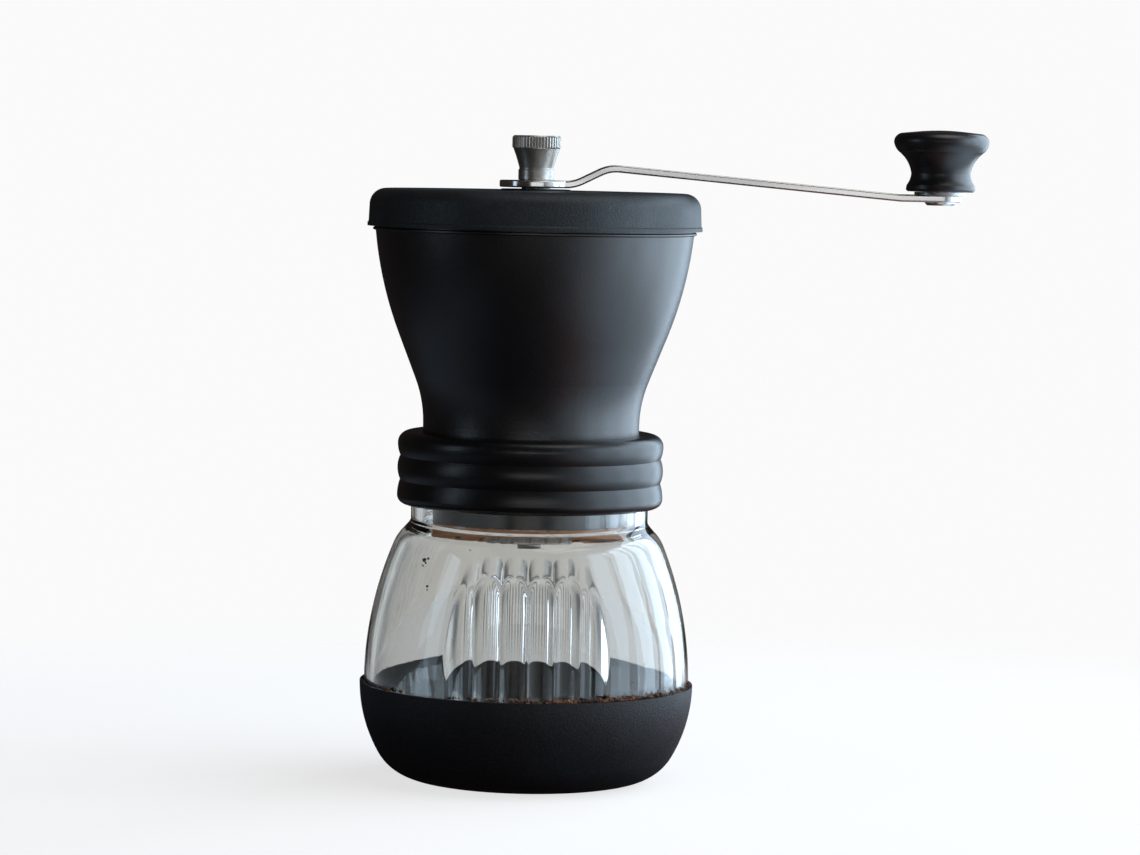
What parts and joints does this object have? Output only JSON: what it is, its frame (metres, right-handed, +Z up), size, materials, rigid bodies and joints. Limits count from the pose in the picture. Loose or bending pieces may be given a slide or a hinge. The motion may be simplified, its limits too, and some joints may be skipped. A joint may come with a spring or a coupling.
{
  "type": "hand crank coffee grinder",
  "caption": "Hourglass hand coffee grinder: fluted glass jar in a rubber boot, ribbed collar, flared hopper, round lid and a bent steel crank with a turning knob.",
  "frame": {"origin": "centre of the boot's flat underside, on the crank's axis, at the level of the table", "axes": "+Z up along the crank's axis; the crank arm points along +X at rest; the two fluted grips face -Y and +Y"},
  "size_m": [0.172, 0.093, 0.183],
  "materials": {
    "boot_rubber": "matte silicone",
    "lid_rubber": "matte silicone",
    "jar_glass": "clear, thick, pressed",
    "black_plastic": "satin moulded",
    "knob_plastic": "satin moulded",
    "bush_plastic": "plain moulded",
    "burr_ceramic": "fired ceramic, unglazed",
    "steel": "turned",
    "polished_steel": "polished strip, turned nut"
  },
  "bodies": {
    "jar": {"glass_jar": "jar_glass", "base_boot": "boot_rubber"},
    "mill": {"mill_body": "black_plastic", "hopper": "black_plastic", "upper_bush": "bush_plastic", "thrust_washer": "steel", "outer_burr": "burr_ceramic", "burr_retainer": "black_plastic"},
    "lid": {"lid": "lid_rubber"},
    "crank": {"shaft": "steel", "shaft_circlip": "steel", "spring_washer": "steel", "burr_spring": "steel"},
    "burr_carriage": {"inner_burr": "burr_ceramic", "lock_ring": "steel"},
    "adjuster": {"adjusting_nut": "bush_plastic"},
    "handle": {"handle_arm": "polished_steel", "knob_pin": "polished_steel", "knob_washer": "steel"},
    "grip": {"knob": "knob_plastic", "knob_cap": "knob_plastic"},
    "top_nut": {"handle_nut": "polished_steel"}
  },
  "joints": [
    {"name": "mill_lift", "type": "slide", "parent": "jar", "child": "mill", "axis": [0, 0, 1], "range_m": [0, 0.035]},
    {"name": "crank_spin", "type": "hinge", "parent": "mill", "child": "crank", "pos_m": [0, 0, 0.103], "axis": [0, 0, 1], "continuous": true},
    {"name": "handle_lift", "type": "slide", "parent": "crank", "child": "handle", "axis": [0, 0, 1], "range_m": [0, 0.03]},
    {"name": "nut_turn", "type": "hinge", "parent": "handle", "child": "top_nut", "pos_m": [0, 0, 0.17], "axis": [0, 0, 1], "range_deg": [0, 10800]},
    {"name": "knob_spin", "type": "hinge", "parent": "handle", "child": "grip", "pos_m": [0.1123, 0, 0.17], "axis": [0, 0, 1], "continuous": true},
    {"name": "lid_lift", "type": "slide", "parent": "mill", "child": "lid", "axis": [0, 0, 1], "range_m": [0, 0.0262]},
    {"name": "burr_shift", "type": "slide", "parent": "crank", "child": "burr_carriage", "axis": [0, 0, -1], "range_m": [-0.00025, 0.001], "deforming": ["burr_spring"]},
    {"name": "adjust_turn", "type": "hinge", "parent": "burr_carriage", "child": "adjuster", "pos_m": [0, 0, 0.077], "axis": [0, 0, -1], "range_deg": [-90, 360]}
  ],
  "couplings": [
    {"joint": "nut_turn", "follows": "handle_lift", "rad_per_m": 6283.2},
    {"joint": "lid_lift", "follows": "handle_lift", "ratio": 0.867},
    {"joint": "adjust_turn", "follows": "burr_shift", "rad_per_m": 6283.2}
  ]
}
